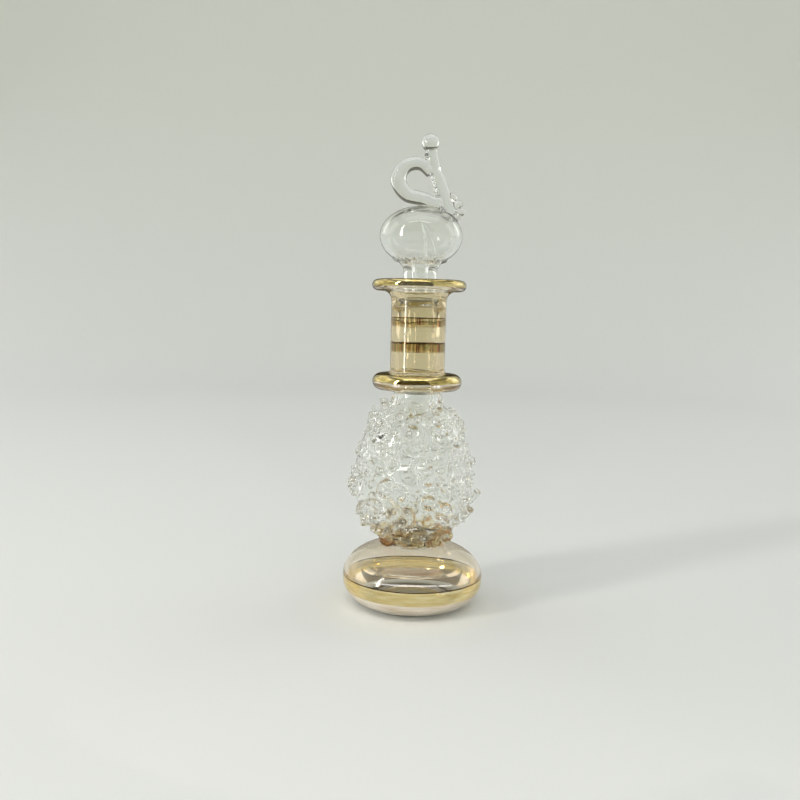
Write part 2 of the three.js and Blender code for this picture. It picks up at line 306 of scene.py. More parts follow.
def body_inside():
    """From the bore under the neck down to the middle of the foot's floor."""
    egg, upper, lower = (v - BODY_WALL for v in (BODY_RADIUS, BODY_UPPER, BODY_LOWER))
    shoulder_r = SHOULDER_RADIUS - BODY_WALL
    shoulder = (shoulder_r, BODY_CENTRE + height_at(shoulder_r, egg, upper, 2))
    bore_end = (NECK_BORE, COLLAR_HEIGHT + COLLAR_HALF)
    root = (ROOT_BORE, COLLAR_HEIGHT - COLLAR_HALF - COLLAR_FILLET)
    foot_r, foot_half = FOOT_RADIUS - FOOT_WALL, FOOT_HALF - FOOT_WALL
    waist_angle = -angle_of_radius(WAIST_BORE, egg, BODY_POWER)
    foot_angle = angle_of_radius(WAIST_BORE, foot_r, FOOT_POWER)
    floor_angle = -angle_of_height(FOOT_CENTRE - FOOT_WALL, foot_half, FOOT_POWER)
    foot = arc(0, FOOT_CENTRE, foot_r, foot_half, foot_angle, floor_angle, 44, FOOT_POWER)
    kick = (foot[-1][0] - REST_RING, foot[-1][1])
    kick_top = (0, KICK + FOOT_WALL)
    return [
        bore_end,
        *bend(bore_end, (NECK_BORE, COLLAR_HEIGHT), root, 6),
        root,
        *bend(root, (ROOT_BORE, (root[1] + shoulder[1]) / 2), shoulder, 10),
        *arc(0, BODY_CENTRE, egg, upper, angle_of_radius(shoulder_r, egg, 2), 0, 22),
        *arc(0, BODY_CENTRE, egg, lower, 0, waist_angle, 26, BODY_POWER)[1:],
        *foot,
        *bend(kick, (kick[0] * 0.7, kick_top[1]), kick_top, 10),
        kick_top,
    ]


print("hollow:", len(mouth_inside()) + len(body_inside()), "points")

# %% [markdown]
# ## Glass and gold
# Materials come before the pieces, because each face is given its finish as it is made.

# %% Material helpers
def linear(hex_colour):
    """A linear RGBA colour from an sRGB hex value."""
    shares = [int(hex_colour[i:i + 2], 16) / 255 for i in (1, 3, 5)]
    return tuple(s / 12.92 if s <= 0.04045 else ((s + 0.055) / 1.055) ** 2.4 for s in shares) + (1.0,)


def add(material, kind, settings=None, links=None):
    """Add a node with its settings, and link its inputs to other nodes' outputs."""
    node = material.node_tree.nodes.new(kind)
    for name, value in (settings or {}).items():
        if hasattr(node, name):
            setattr(node, name, value)
        else:
            node.inputs[name].default_value = value
    for name, socket in (links or {}).items():
        material.node_tree.links.new(socket, node.inputs[name])
    return node


def new_material(name):
    """A node material with only its output."""
    material = bpy.data.materials.new(name)
    material.use_nodes = True
    material.node_tree.nodes.clear()
    return material


def finish_material(material, shader):
    output = add(material, "ShaderNodeOutputMaterial")
    material.node_tree.links.new(shader.outputs[0], output.inputs["Surface"])
    return material


# %% [markdown]
# Clear borosilicate glass is flame-polished: no scratches, but long shallow waves from its own flow. The
# waves are about 4 mm long and show only as a slight wander in the reflections.

# %% Clear flame-polished glass
GLASS_IOR = 1.47
WAVE_LENGTH = 4.0
WAVE_DEPTH = 0.012


def flow_waves(material, wave_mm, depth_mm):
    """A soft bump of flowing waves of a real length and depth."""
    place = add(material, "ShaderNodeTexCoord")
    waves = add(
        material, "ShaderNodeTexNoise",
        {"Scale": 1 / (wave_mm * MM), "Detail": 1.0, "Roughness": 0.4},
        {"Vector": place.outputs["Object"]},
    )
    return add(
        material, "ShaderNodeBump",
        {"Strength": 1.0, "Distance": depth_mm * MM},
        {"Height": waves.outputs["Fac"]},
    )


def clear_glass(name, wave_mm, depth_mm):
    material = new_material(name)
    waves = flow_waves(material, wave_mm, depth_mm)
    glass = add(
        material, "ShaderNodeBsdfPrincipled",
        {
            "Base Color": linear("#fdfefc"),
            "Roughness": 0.0,
            "IOR": GLASS_IOR,
            "Transmission Weight": 1.0,
        },
        {"Normal": waves.outputs["Normal"]},
    )
    return finish_material(material, glass)


flame_polished = clear_glass("flame_polished_borosilicate", WAVE_LENGTH, WAVE_DEPTH)
print(flame_polished.name)

# %% [markdown]
# ## Amber lustre
# The foot and the neck are brushed with a metal lustre that fires to a film far thinner than paper. It
# only tints the light that crosses it, so a base colour on clear glass stands for it. Cycles tints by the
# root of that colour at each surface, and a noise mixes a thin and a thick tint as the brush left them.

# %% Amber lustre on the foot and neck
def amber_lustre(name, thin, thick):
    """A fired-on amber film on glass, uneven as it was brushed."""
    material = new_material(name)
    place = add(material, "ShaderNodeTexCoord")
    patches = add(
        material, "ShaderNodeTexNoise",
        {"Scale": 1 / (6.0 * MM), "Detail": 3.0, "Roughness": 0.55},
        {"Vector": place.outputs["Object"]},
    )
    colour = add(
        material, "ShaderNodeMix",
        {"data_type": "RGBA"},
        {"Factor": patches.outputs["Fac"]},
    )
    colour.inputs[6].default_value = linear(thin)
    colour.inputs[7].default_value = linear(thick)
    waves = flow_waves(material, WAVE_LENGTH, WAVE_DEPTH)
    film = add(
        material, "ShaderNodeBsdfPrincipled",
        {"Roughness": 0.0, "IOR": GLASS_IOR, "Transmission Weight": 1.0},
        {"Base Color": colour.outputs[2], "Normal": waves.outputs["Normal"]},
    )
    return finish_material(material, film)


amber = amber_lustre("amber_lustre_on_the_neck", "#f4e6c4", "#ebd5a6")
foot_amber = amber_lustre("amber_lustre_on_the_foot", "#fcf3e6", "#f8e7cf")
print(amber.name)

# %% [markdown]
# ## Gold
# Liquid bright gold is painted on and fired. Where it lies thick it is a mirror, and where it runs thin
# the glass shines through, so one noise drives both the shade and how much of the film is metal. The same
# film gives the bright rings, the brushed band of the foot and the streaked bands of the neck.

# %% Gold films
def gold_film(name, shades, cover, streak_mm, lift_mm):
    """A fired-on gold film: part metal, part see-through, in streaks as the brush left it."""
    material = new_material(name)
    place = add(material, "ShaderNodeTexCoord")
    streaks = add(
        material, "ShaderNodeMapping",
        {"Scale": (1 / (streak_mm * MM), 1 / (streak_mm * MM), 1 / (lift_mm * MM))},
        {"Vector": place.outputs["Object"]},
    )
    brushed = add(
        material, "ShaderNodeTexNoise",
        {"Scale": 1.0, "Detail": 2.0, "Roughness": 0.55},
        {"Vector": streaks.outputs["Vector"]},
    )
    spread = add(
        material, "ShaderNodeMapRange",
        {"From Min": 0.32, "From Max": 0.68},
        {"Value": brushed.outputs["Fac"]},
    )
    colour = add(material, "ShaderNodeValToRGB", None, {"Fac": spread.outputs[0]})
    stops = colour.color_ramp.elements
    stops[0].color, stops[1].color = linear(shades[0]), linear(shades[-1])
    for i, shade in enumerate(shades[1:-1], 1):
        stop = stops.new(i / (len(shades) - 1))
        stop.color = linear(shade)
    metal = add(
        material, "ShaderNodeMapRange",
        {"To Min": cover[0], "To Max": cover[1]},
        {"Value": spread.outputs[0]},
    )
    waves = flow_waves(material, 3.0, WAVE_DEPTH)
    film = add(
        material, "ShaderNodeBsdfPrincipled",
        {"Roughness": 0.05, "IOR": GLASS_IOR, "Transmission Weight": 1.0},
        {
            "Base Color": colour.outputs["Color"],
            "Metallic": metal.outputs[0],
            "Normal": waves.outputs["Normal"],
        },
    )
    return finish_material(material, film)


print("linear gold:", [round(v, 2) for v in linear("#dbc47c")])

# %% [markdown]
# Each place on the flask gets its own film: a mirror on the rings, a thin wash under them, a brushed
# band and a pale one on the foot. The neck's bands are see-through streaks in many browns, so their
# noise is fine across and very long up the neck. The thin dark line along the upper edge of each gold
# band is painted shade: it stands for where the band's mirror turns from the bright floor to the dark room.

# %% The finish of each place
bright_gold = gold_film("bright_gold_film", ["#9c8f50", "#dbc47c", "#f4e3aa"], (0.65, 0.92), 3.0, 0.9)
thin_gold = gold_film("thin_gold_film", ["#e2c9b6", "#fdf4ea", "#fffaf4"], (0.1, 0.0), 2.5, 0.5)
foot_gold = gold_film("brushed_gold_film", ["#f6da90", "#fee9a8", "#fff2c6"], (0.52, 0.78), 5.0, 0.6)
pale_lustre = gold_film("pale_lustre_film", ["#fbead6", "#fff9f0"], (0.68, 0.88), 6.0, 1.0)
NECK_SHADES = ["#2e2016", "#a45a38", "#dcb465", "#5f6636", "#e6c884", "#7a3c28", "#dcb868"]
neck_gold = gold_film("streaked_gold_film", NECK_SHADES, (0.1, 0.0), 1.1, 60.0)
# Painted shade: a dark line along the upper edge of each gold band, where its mirror turns from the bright
# floor to the dark room.
painted_edge_shade = gold_film("painted_dark_line_on_gold", ["#3a2618", "#7a5836"], (0.6, 0.9), 1.5, 1.5)
FLASK_FINISHES = [
    flame_polished, amber, foot_amber, bright_gold, thin_gold, foot_gold, pale_lustre, neck_gold, painted_edge_shade,
]
CLEAR, AMBER, FOOT_AMBER, BRIGHT, THIN, FOOT_GOLD, PALE, NECK_GOLD, PAINTED_LINE, CRUST = range(10)
print([m.name for m in FLASK_FINISHES])

# %% [markdown]
# ## Glass of the crust
# The threads are clear, but the lowest ones caught some of the amber, and a few drops went brown. The
# amber is patchy at the bottom and gone a centimetre higher, so a noise and the height are added up
# before a colour ramp. The object's own coordinates keep the patches at a real 3 mm. The sum's two
# sockets share one name, so they are linked by number.

# %% Glass of the crust
def crust_glass():
    """Clear glass whose lowest threads caught the amber spray and a few drops of the gold."""
    material = new_material("thread_crust_glass")
    place = add(material, "ShaderNodeTexCoord")
    split = add(material, "ShaderNodeSeparateXYZ", None, {"Vector": place.outputs["Object"]})
    patches = add(
        material, "ShaderNodeTexNoise",
        {"Scale": 1 / (2.8 * MM), "Detail": 1.5, "Roughness": 0.5},
        {"Vector": place.outputs["Object"]},
    )
    fade = add(
        material, "ShaderNodeMapRange",
        {"From Min": 23.0 * MM, "From Max": 15.5 * MM, "To Min": -0.3, "To Max": 0.17},
        {"Value": split.outputs["Z"]},
    )
    both = add(material, "ShaderNodeMath", {"operation": "ADD"})
    material.node_tree.links.new(fade.outputs[0], both.inputs[0])
    material.node_tree.links.new(patches.outputs["Fac"], both.inputs[1])
    colour = add(material, "ShaderNodeValToRGB", None, {"Fac": both.outputs[0]})
    stops = colour.color_ramp.elements
    stops[0].position, stops[0].color = 0.45, linear("#fdfefc")
    stops[1].position, stops[1].color = 0.74, linear("#a05a2c")
    for where, shade in ((0.5, "#f2e8cc"), (0.6, "#d9bf7c")):
        stop = stops.new(where)
        stop.color = linear(shade)
    glass = add(
        material, "ShaderNodeBsdfPrincipled",
        {"Roughness": 0.0, "IOR": GLASS_IOR, "Transmission Weight": 1.0},
        {"Base Color": colour.outputs["Color"]},
    )
    return finish_material(material, glass)


FLASK_FINISHES.append(crust_glass())
print(FLASK_FINISHES[CRUST].name)

# %% [markdown]
# ## Turning a solid
# A lathe form is its outline spun round the axis. The points on the axis meet in one when the doubles are
# merged, and then the faces are turned outwards. A short rod tries it: its volume comes out positive
# only when its faces point outwards.

# %% Turn a solid
def turned(outline, turns):
    """A closed solid from an outline whose two ends lie on the axis."""
    bm = bmesh.new()
    corners = [bm.verts.new((r * MM, 0, z * MM)) for r, z in outline]
    edges = [bm.edges.new(pair) for pair in zip(corners, corners[1:])]
    bmesh.ops.spin(
        bm, geom=corners + edges, cent=(0, 0, 0), axis=(0, 0, 1),
        angle=2 * math.pi, steps=turns, use_merge=True,
    )
    bmesh.ops.remove_doubles(bm, verts=bm.verts, dist=1e-7)
    bmesh.ops.recalc_face_normals(bm, faces=bm.faces)
    return bm


def piece_of(bm, name, finishes):
    """A mesh object from a bmesh, with its list of materials."""
    mesh = bpy.data.meshes.new(name)
    bm.to_mesh(mesh)
    bm.free()
    for finish in finishes:
        mesh.materials.append(finish)
    piece = bpy.data.objects.new(name, mesh)
    bpy.context.scene.collection.objects.link(piece)
    return piece


sample = turned([(0, 0), (1, 0), (1, 5), (0, 5)], 48)
print("a short rod:", round(sample.calc_volume(signed=True) / MM ** 3, 2), "mm3")
sample.free()

# %% [markdown]
# ## The bare flask
# The bare flask is one outline: up the outside, over the lip, down to the middle of the neck's bore. The
# rest of the hollow is cut out last, so that it also cuts through the crust. Each face then gets its
# finish by where it is: the gold covers six tenths of the lip and the collar's upper half.

# %% Spin the bare flask
FLASK_TURNS = 96
CRUST_SINK = 0.3
LIP_GOLD = 0.62
COLLAR_GOLD = 0.05


def flask_finish(face):
    """The finish of a face of the bare flask, by where it is."""
    centre = face.calc_center_median() / MM
    inside = face.normal.x * centre.x + face.normal.y * centre.y < 0
    if centre.z > COLLAR_HEIGHT + COLLAR_HALF and inside:
        return CLEAR
    if centre.z > LIP_TOP - LIP_THICKNESS - 0.4:
        return BRIGHT if centre.z > LIP_TOP - LIP_GOLD * LIP_THICKNESS else THIN
    for low, high in NECK_BANDS:
        if low < centre.z < high:
            return PAINTED_LINE if centre.z > high - PAINTED_LINE_WIDTH else NECK_GOLD
    if abs(centre.z - COLLAR_HEIGHT) <= COLLAR_HALF + 0.05:
        return BRIGHT if centre.z > COLLAR_HEIGHT + COLLAR_GOLD * COLLAR_HALF else THIN
    if centre.z > COLLAR_HEIGHT:
        return AMBER
    if centre.z > FOOT_CENTRE + FOOT_HALF or (face.normal.z < -0.6 and centre.z < KICK + 0.1):
        return CLEAR
    if FOOT_BAND[0] < centre.z < FOOT_BAND[1] and Vector(centre.xy).length > FOOT_RADIUS - 4:
        return PAINTED_LINE if centre.z > FOOT_BAND[1] - PAINTED_LINE_WIDTH else FOOT_GOLD
    return PALE if centre.z < FOOT_BAND[0] else FOOT_AMBER


foot = foot_outside()
ring_inner = foot[0][0] - REST_RING
outside = [
    (0, KICK),
    *bend((0, KICK), (ring_inner * 0.7, KICK), (ring_inner, 0), 12),
    (ring_inner, 0),
    *foot[:-1],
    *body_outside(CRUST_SINK),
    *neck_outside(),
    *mouth_inside(),
    (0, BORE_SPLIT),
]
bare = turned(outside, FLASK_TURNS)
for face in bare.faces:
    face.material_index = flask_finish(face)
flask = piece_of(bare, "blown_flask", FLASK_FINISHES)
print("bare flask:", len(flask.data.polygons), "faces")

# %% [markdown]
# ## The crust
# A thin rod is softened in the flame and laid on the body in small curls, one beside the other, until
# they cover it. Each curl here is part of a circle, in a plane that leans out of the glass, and low on the
# egg it lies flatter. Its size, sweep and thickness are drawn by lot, between limits read off the photo.

# %% Bend the curls
CURL_THREAD = (0.5, 0.8)
CURL_BEND = (1.2, 2.3)
CURL_SWEEP = (2.2, 5.7)
CURL_LEAN = (0.0, 0.8)
CURL_STEPS = 9
CRUST_LOW = 13.9
CRUST_HIGH = 47.0
SKIN_LOW = 13.3
SKIN_HIGH = 49.6
dice = random.Random(7)
skin_line = [
    (0, SKIN_LOW),
    (WAIST_RADIUS + 0.8, SKIN_LOW),
    *body_outside()[3:],
    (ROOT_RADIUS, SKIN_HIGH),
    (0, SKIN_HIGH),
]


def skin_at(height):
    """Radius and outward slope of the body's skin at a height."""
    for (r0, z0), (r1, z1) in zip(skin_line[2:], skin_line[3:]):
        if z0 <= height <= z1:
            share = (height - z0) / (z1 - z0)
            return r0 + (r1 - r0) * share, (r0 - r1) / (z1 - z0)
    return ROOT_RADIUS, 0.0


def curl(share, around):
    """Points and thread radius of one curl, in mm."""
    height = CRUST_LOW + (CRUST_HIGH - CRUST_LOW) * share
    radius, slope = skin_at(height)
    outward = Vector((math.cos(around), math.sin(around), slope)).normalized()
    level = Vector((-math.sin(around), math.cos(around), 0))
    along = Matrix.Rotation(dice.uniform(0, 2 * math.pi), 3, outward) @ level
    upright = min(1.0, max(0.35, (height - 15.0) / 10.0))
    lean = dice.uniform(*CURL_LEAN) * upright
    rise = (outward.cross(along) * math.cos(lean) + outward * math.sin(lean)).normalized()
    size = dice.uniform(*CURL_BEND)
    sweep = dice.uniform(*CURL_SWEEP)
    start = Vector((radius * math.cos(around), radius * math.sin(around), height)) - outward * 0.1
    centre = start + rise * size
    points = []
    for i in range(CURL_STEPS + 1):
        a = sweep * (i / CURL_STEPS - 0.5)
        points.append(centre + along * size * math.sin(a) - rise * size * math.cos(a))
    return points, dice.uniform(*CURL_THREAD)


# %% [markdown]
# The curls are spread evenly over the skin, each turned by the golden angle from the one before, so that
# they never line up. The front of the neck's root stays bare, as it does on the real flask, and the back
# is kept the same. A ring of smaller curls closes the crust over the waist.

# %% Spread the curls
CURLS = 155
HEM_CURLS = 26
FRONT_HIGH = 43.2
BARE_SIDE = 0.62
HEM_HEIGHT = (15.3, 16.6)
HEM_RADIUS = (6.4, 7.3)
HEM_BEND = (0.9, 1.5)
HEM_SWEEP = (3.2, 5.6)
HEM_THREAD = (0.5, 0.7)


def area_share(count):
    """Shares of the height that spread the curls evenly over the skin."""
    heights = [CRUST_LOW + (CRUST_HIGH - CRUST_LOW) * i / 400 for i in range(401)]
    weights = [skin_at(h)[0] * math.hypot(1, skin_at(h)[1]) for h in heights]
    total = sum(weights)
    wanted, passed, shares = 0.5, 0.0, []
    for i, weight in enumerate(weights):
        passed += weight * count / total
        while passed >= wanted and len(shares) < count:
            shares.append(i / 400)
            wanted += 1
    return shares


def hem_curl(around):
    """A curl of the ring that closes the crust over the waist."""
    height = dice.uniform(*HEM_HEIGHT)
    outward = Vector((math.cos(around), math.sin(around), 0))
    level = Vector((-math.sin(around), math.cos(around), 0))
    centre = outward * dice.uniform(*HEM_RADIUS) + Vector((0, 0, height))
    size, tip, sweep = dice.uniform(*HEM_BEND), dice.uniform(-0.7, 0.7), dice.uniform(*HEM_SWEEP)
    rise = Vector((0, 0, 1)) * math.cos(tip) + level * math.sin(tip)
    turn = dice.uniform(-0.8, 0.8)
    points = []
    for i in range(CURL_STEPS + 1):
        a = sweep * (i / CURL_STEPS - 0.5) + turn
        points.append(centre + outward * size * math.cos(a) + rise * size * math.sin(a))
    return points, dice.uniform(*HEM_THREAD)


print("lowest and highest curl, share of the height:", area_share(CURLS)[0], area_share(CURLS)[-1])

# %% [markdown]
# A curve with a round bevel draws each curl as a tube, thicker at its two ends, where the hot thread
# was touched down and pulled off.

# %% Lay the threads
THICK_END = 1.25


def round_curve(name, resolution):
    """A curve without points yet, whose splines are drawn as round tubes."""
    curve = bpy.data.curves.new(name, "CURVE")
    curve.dimensions = "3D"
    curve.bevel_depth = MM
    curve.bevel_resolution = resolution
    curve.use_fill_caps = True
    return curve


def tubes_of(curve):
    """The mesh of a curve's tubes."""
    drawn = bpy.data.objects.new(curve.name, curve)
    bpy.context.scene.collection.objects.link(drawn)
    mesh = bpy.data.meshes.new_from_object(drawn.evaluated_get(bpy.context.evaluated_depsgraph_get()))
    bpy.data.objects.remove(drawn)
    return mesh


threads = round_curve("threads", 1)
golden = math.pi * (3 - math.sqrt(5))
bent = []
for i, share in enumerate(area_share(CURLS)):
    around = i * golden + dice.uniform(-0.15, 0.15)
    high = CRUST_LOW + (CRUST_HIGH - CRUST_LOW) * share > FRONT_HIGH
    if not (high and abs(math.sin(around)) > BARE_SIDE):
        bent.append(curl(share, around))
bent += [hem_curl(2 * math.pi * (i + dice.uniform(-0.3, 0.3)) / HEM_CURLS) for i in range(HEM_CURLS)]
for points, thickness in bent:
    spline = threads.splines.new("POLY")
    spline.points.add(len(points) - 1)
    for place, point in zip(spline.points, points):
        place.co = (*(point * MM), 1)
        place.radius = thickness
    spline.points[0].radius = spline.points[-1].radius = thickness * THICK_END
print("curls:", len(threads.splines))

# %% [markdown]
# ## Melting and joining
# Fused glass has no seams, so pieces that melt together become one mesh. A union or a difference of
# closed shells does that and keeps each face's finish. Where the joints have to flow as well, a voxel
# remesh draws one new skin round everything, and a few rounds of smoothing relax it.

# %% Melt and join
def applied(piece):
    """Make the piece's modifiers part of its mesh."""
    graph = bpy.context.evaluated_depsgraph_get()
    mesh = bpy.data.meshes.new_from_object(piece.evaluated_get(graph))
    piece.modifiers.clear()
    piece.data = mesh
    return piece


def joined(piece, other, operation):
    """The union or difference of two closed meshes, left in the first one."""
    step = piece.modifiers.new(operation.lower(), "BOOLEAN")
    step.operation = operation
    step.solver = "MANIFOLD"
    step.object = other
    applied(piece)
    bpy.data.objects.remove(other)
    return piece


def fused(bm, name, voxel_mm, rounds, finishes):
    """Melt overlapping closed shells into one skin, as the flame does."""
    piece = piece_of(bm, name, finishes)
    melt = piece.modifiers.new("melt", "REMESH")
    melt.mode = "VOXEL"
    melt.voxel_size = voxel_mm * MM
    applied(piece)
    skin = bmesh.new()
    skin.from_mesh(piece.data)
    for _ in range(rounds):
        bmesh.ops.smooth_vert(
            skin, verts=skin.verts, factor=0.5, use_axis_x=True, use_axis_y=True, use_axis_z=True,
        )
    return piece, skin


print("flask before the crust:", len(flask.data.vertices), "points")

# %% [markdown]
# ## Melting the crust
# In the flame the curls sink into each other and lose their edges. The voxel remesh does the same with
# overlapping shells, and a few rounds of smoothing round the joints. Points that still lie on the plain
# skin are put back on its exact outline, so the glass between the curls stays clear and even.

# %% Melt the crust together and join it to the flask
VOXEL = 0.3
NEAR_SKIN = 0.09
CRUST_TURNS = 128
crust = turned(skin_line, CRUST_TURNS)
crust.from_mesh(tubes_of(threads))
crust_piece, skin = fused(crust, "crust", VOXEL, 3, FLASK_FINISHES)
for vert in skin.verts:
    radius, _ = skin_at(vert.co.z / MM)
    now = vert.co.xy.length / MM
    if abs(now - radius) < NEAR_SKIN and SKIN_LOW + 1.3 < vert.co.z / MM < SKIN_HIGH - 0.3:
        vert.co.xy *= radius / now
for face in skin.faces:
    face.material_index = CRUST
skin.to_mesh(crust_piece.data)
skin.free()
print("crust:", len(crust_piece.data.polygons), "faces")
joined(flask, crust_piece, "UNION")

# %% [markdown]
# ## The hollow
# The hollow is cut after the crust is on, from the neck's bore down through the body and the waist into
# the foot. That leaves true walls: about 1 mm of clear glass, and the crust outside it.

# %% Cut the hollow
hollow_line = [(0, BORE_SPLIT + 1), (NECK_BORE + 0.02, BORE_SPLIT + 1), *body_inside()]
hollow = turned(hollow_line, FLASK_TURNS)
for face in hollow.faces:
    face.material_index = CLEAR
joined(flask, piece_of(hollow, "hollow", FLASK_FINISHES), "DIFFERENCE")
print("hollow flask:", len(flask.data.polygons), "faces")

# %% [markdown]
# Hand-blown glass is never quite true. The body sagged a little to the left while it was soft. Each
# point moves sideways by its height. The shading is smooth, and only sharp edges stay crisp.

# %% Let the body sag
def soften(piece, angle):
    """Smooth shading, with edges sharper than the angle left crisp."""
    bm = bmesh.new()
    bm.from_mesh(piece.data)
    for face in bm.faces:
        face.smooth = True
    for edge in bm.edges:
        edge.smooth = edge.calc_face_angle(0) < math.radians(angle)
    bm.to_mesh(piece.data)
    bm.free()
    return sum(len(face.vertices) - 2 for face in piece.data.polygons)


def swayed(piece, sway):
    """Move each point sideways by a function of its height, as hot glass sags and bends."""
    for vert in piece.data.vertices:
        vert.co.x += sway(vert.co.z / MM) * MM


BODY_SAG = 0.6
SAG_LOW = 13.0


def body_sag(height):
    share = (height - SAG_LOW) / (COLLAR_HEIGHT - COLLAR_HALF - SAG_LOW)
    return -BODY_SAG * math.sin(math.pi * share) ** 2 if 0 < share < 1 else 0.0


swayed(flask, body_sag)
print("flask:", soften(flask, 50), "triangles")

# %% [markdown]
# ## The stopper
# The stopper is drawn from rod and blown at its top. A long dip rod hangs in the flask, a short stem
# shows above the lip, and a thin bubble sits on it, with a trailed loop, a leaning rod and a ball.

# %% The stopper's stem and bubble
STEM_RADIUS = 3.65
ROD_TOP = 3.05
ROD_TIP = 2.8
TIP = stopper_low.z
BULB_RADIUS = 9.05
BULB_HALF = 6.5
BULB_BOTTOM = LIP_TOP + 3.0
BULB_CENTRE = BULB_BOTTOM + BULB_HALF
BULB_TOP = BULB_CENTRE + BULB_HALF
BULB_WALL = 0.8
FINIAL = stopper_high.z - BULB_TOP
STOPPER_TURNS = 80


def stem_line():
    step = (ROD_TOP, THROAT_HEIGHT - 0.6)
    seat = (STEM_RADIUS, THROAT_HEIGHT + 0.9)
    opening = (STEM_RADIUS, BULB_BOTTOM - 1.5)
    inside = (STEM_RADIUS + 2.2, BULB_BOTTOM + 1.6)
    return [
        *arc(0, TIP + 0.2, ROD_TIP, 1.4, -math.pi / 2, 0, 8),
        (ROD_TIP + 0.1, TIP + 10),
        (ROD_TOP - 0.1, THROAT_HEIGHT - 8),
        step,
        *bend(step, (STEM_RADIUS, THROAT_HEIGHT - 0.3), seat, 6),
        seat,
        opening,
        *bend(opening, (STEM_RADIUS, BULB_BOTTOM + 0.3), inside, 7),
        inside,
        (STEM_RADIUS, BULB_BOTTOM + 3),
        (0, BULB_BOTTOM + 3),
    ]


stopper = piece_of(turned(stem_line(), STOPPER_TURNS), "blown_stopper", [flame_polished])
print("stem:", len(stopper.data.polygons), "faces")

# %% [markdown]
# ## The finial
# The finial was trailed from hot rod: a loop on the left, a leaning limb that ends in a ball, and a few
# pinched ends on the right. Each limb is a smooth line through a few places with the thickness there.

# %% Draw the finial's limbs
def spot(x, z, y=0.0):
    """A place on the finial, from shares of its height, in mm."""
    return Vector((x * FINIAL, y * FINIAL, BULB_TOP + z * FINIAL))


def limb(curve, places, steps=10):
    """A tapered round limb that runs smoothly through places with their radii, in mm."""
    ends = [places[0], *places, places[-1]]
    run = []
    for (p, _), (a, thick), (b, thin), (n, _) in zip(ends, ends[1:], ends[2:], ends[3:]):
        stretch = interpolate_bezier(a, a + (b - p) / 6, b - (n - a) / 6, b, steps + 1)[:-1]
        run += [(place, thick + (thin - thick) * i / steps) for i, place in enumerate(stretch)]
    run.append(places[-1])
    spline = curve.splines.new("POLY")
    spline.points.add(len(run) - 1)
    for point, (place, radius) in zip(spline.points, run):
        point.co = (*(place * MM), 1)
        point.radius = radius
    return run


limbs = round_curve("limbs", 6)
limb(limbs, [
    (spot(0.27, 0.02), 1.5), (spot(0.02, 0.10), 1.5), (spot(-0.22, 0.16), 1.6), (spot(-0.34, 0.36), 1.7),
    (spot(-0.23, 0.55), 1.55), (spot(-0.03, 0.58), 1.4), (spot(0.12, 0.46), 1.25),
])
rod = limb(limbs, [
    (spot(0.42, -0.12), 1.6), (spot(0.34, 0.08), 1.55), (spot(0.24, 0.33), 1.4), (spot(0.16, 0.55), 1.3),
    (spot(0.10, 0.86), 1.25),
])
for x, z, y in ((0.56, 0.05, -0.06), (0.60, -0.07, 0.03), (0.46, 0.17, -0.04), (0.53, -0.16, -0.08)):
    limb(limbs, [(spot(0.34, -0.04), 1.1), (spot(x, z, y), 0.75)], 4)
print("limbs:", len(limbs.splines))

# %% [markdown]
# The seam down the leaning limb was nipped with pincers, which left it beaded. The bulb has a ring of
# small ripples where it was joined to its stem. Beads and ripples are small balls that the remesh melts
# into the limb and the bulb, and the bulb's own skin is then put back on its exact outline.

# %% Melt the finial onto the bubble
BALL_RADIUS = 1.95
RIPPLES = 24
RIPPLE_RING = (4.9, 5.6)
RIPPLE_SIZE = (0.3, 0.52)
FINE_VOXEL = 0.18


def round_at(radius, around, height):
    """A place from its distance to the axis, its angle and its height, in mm."""
    return Vector((radius * math.cos(around), radius * math.sin(around), height))


def droplet(bm, place, radius, detail=2):
    """A small ball at a place, in mm."""
    ball = bmesh.ops.create_icosphere(bm, subdivisions=detail, radius=radius * MM)
    bmesh.ops.translate(bm, vec=place * MM, verts=ball["verts"])


finial = bmesh.new()
bmesh.ops.create_uvsphere(finial, u_segments=64, v_segments=48, radius=1)
bmesh.ops.scale(finial, vec=(BULB_RADIUS * MM, BULB_RADIUS * MM, BULB_HALF * MM), verts=finial.verts)
bmesh.ops.translate(finial, vec=(0, 0, BULB_CENTRE * MM), verts=finial.verts)
ball_place = spot(0.1, 1)
ball_place.z -= BALL_RADIUS
droplet(finial, ball_place, BALL_RADIUS, 3)
for i in range(5, len(rod) - 1, 3):
    (place, radius), (onward, _) = rod[i], rod[i + 1]
    side = (onward - place).cross(Vector((0, 1, 0))).normalized()
    side = side if side.x < 0 else -side
    seam = place + (side + Vector((0, -0.8, 0))).normalized() * (radius + 0.25)
    droplet(finial, seam, 0.5 + 0.14 * (i % 2))
ripple_dice = random.Random(5)
for i in range(RIPPLES):
    around = 2 * math.pi * (i + ripple_dice.uniform(-0.3, 0.3)) / RIPPLES
    out = ripple_dice.uniform(*RIPPLE_RING)
    low = BULB_CENTRE - BULB_HALF * math.sqrt(1 - (out / BULB_RADIUS) ** 2)
    droplet(finial, round_at(out, around, low), ripple_dice.uniform(*RIPPLE_SIZE))
finial.from_mesh(tubes_of(limbs))
finial_piece, skin = fused(finial, "finial", FINE_VOXEL, 2, [flame_polished])
for vert in skin.verts:
    p = vert.co / MM
    reach = math.hypot(p.xy.length / BULB_RADIUS, (p.z - BULB_CENTRE) / BULB_HALF)
    if abs(reach - 1) < 0.012:
        vert.co.xy /= reach
        vert.co.z = (BULB_CENTRE + (p.z - BULB_CENTRE) / reach) * MM
skin.to_mesh(finial_piece.data)
skin.free()
joined(stopper, finial_piece, "UNION")
print("stopper with its finial:", len(stopper.data.polygons), "faces")

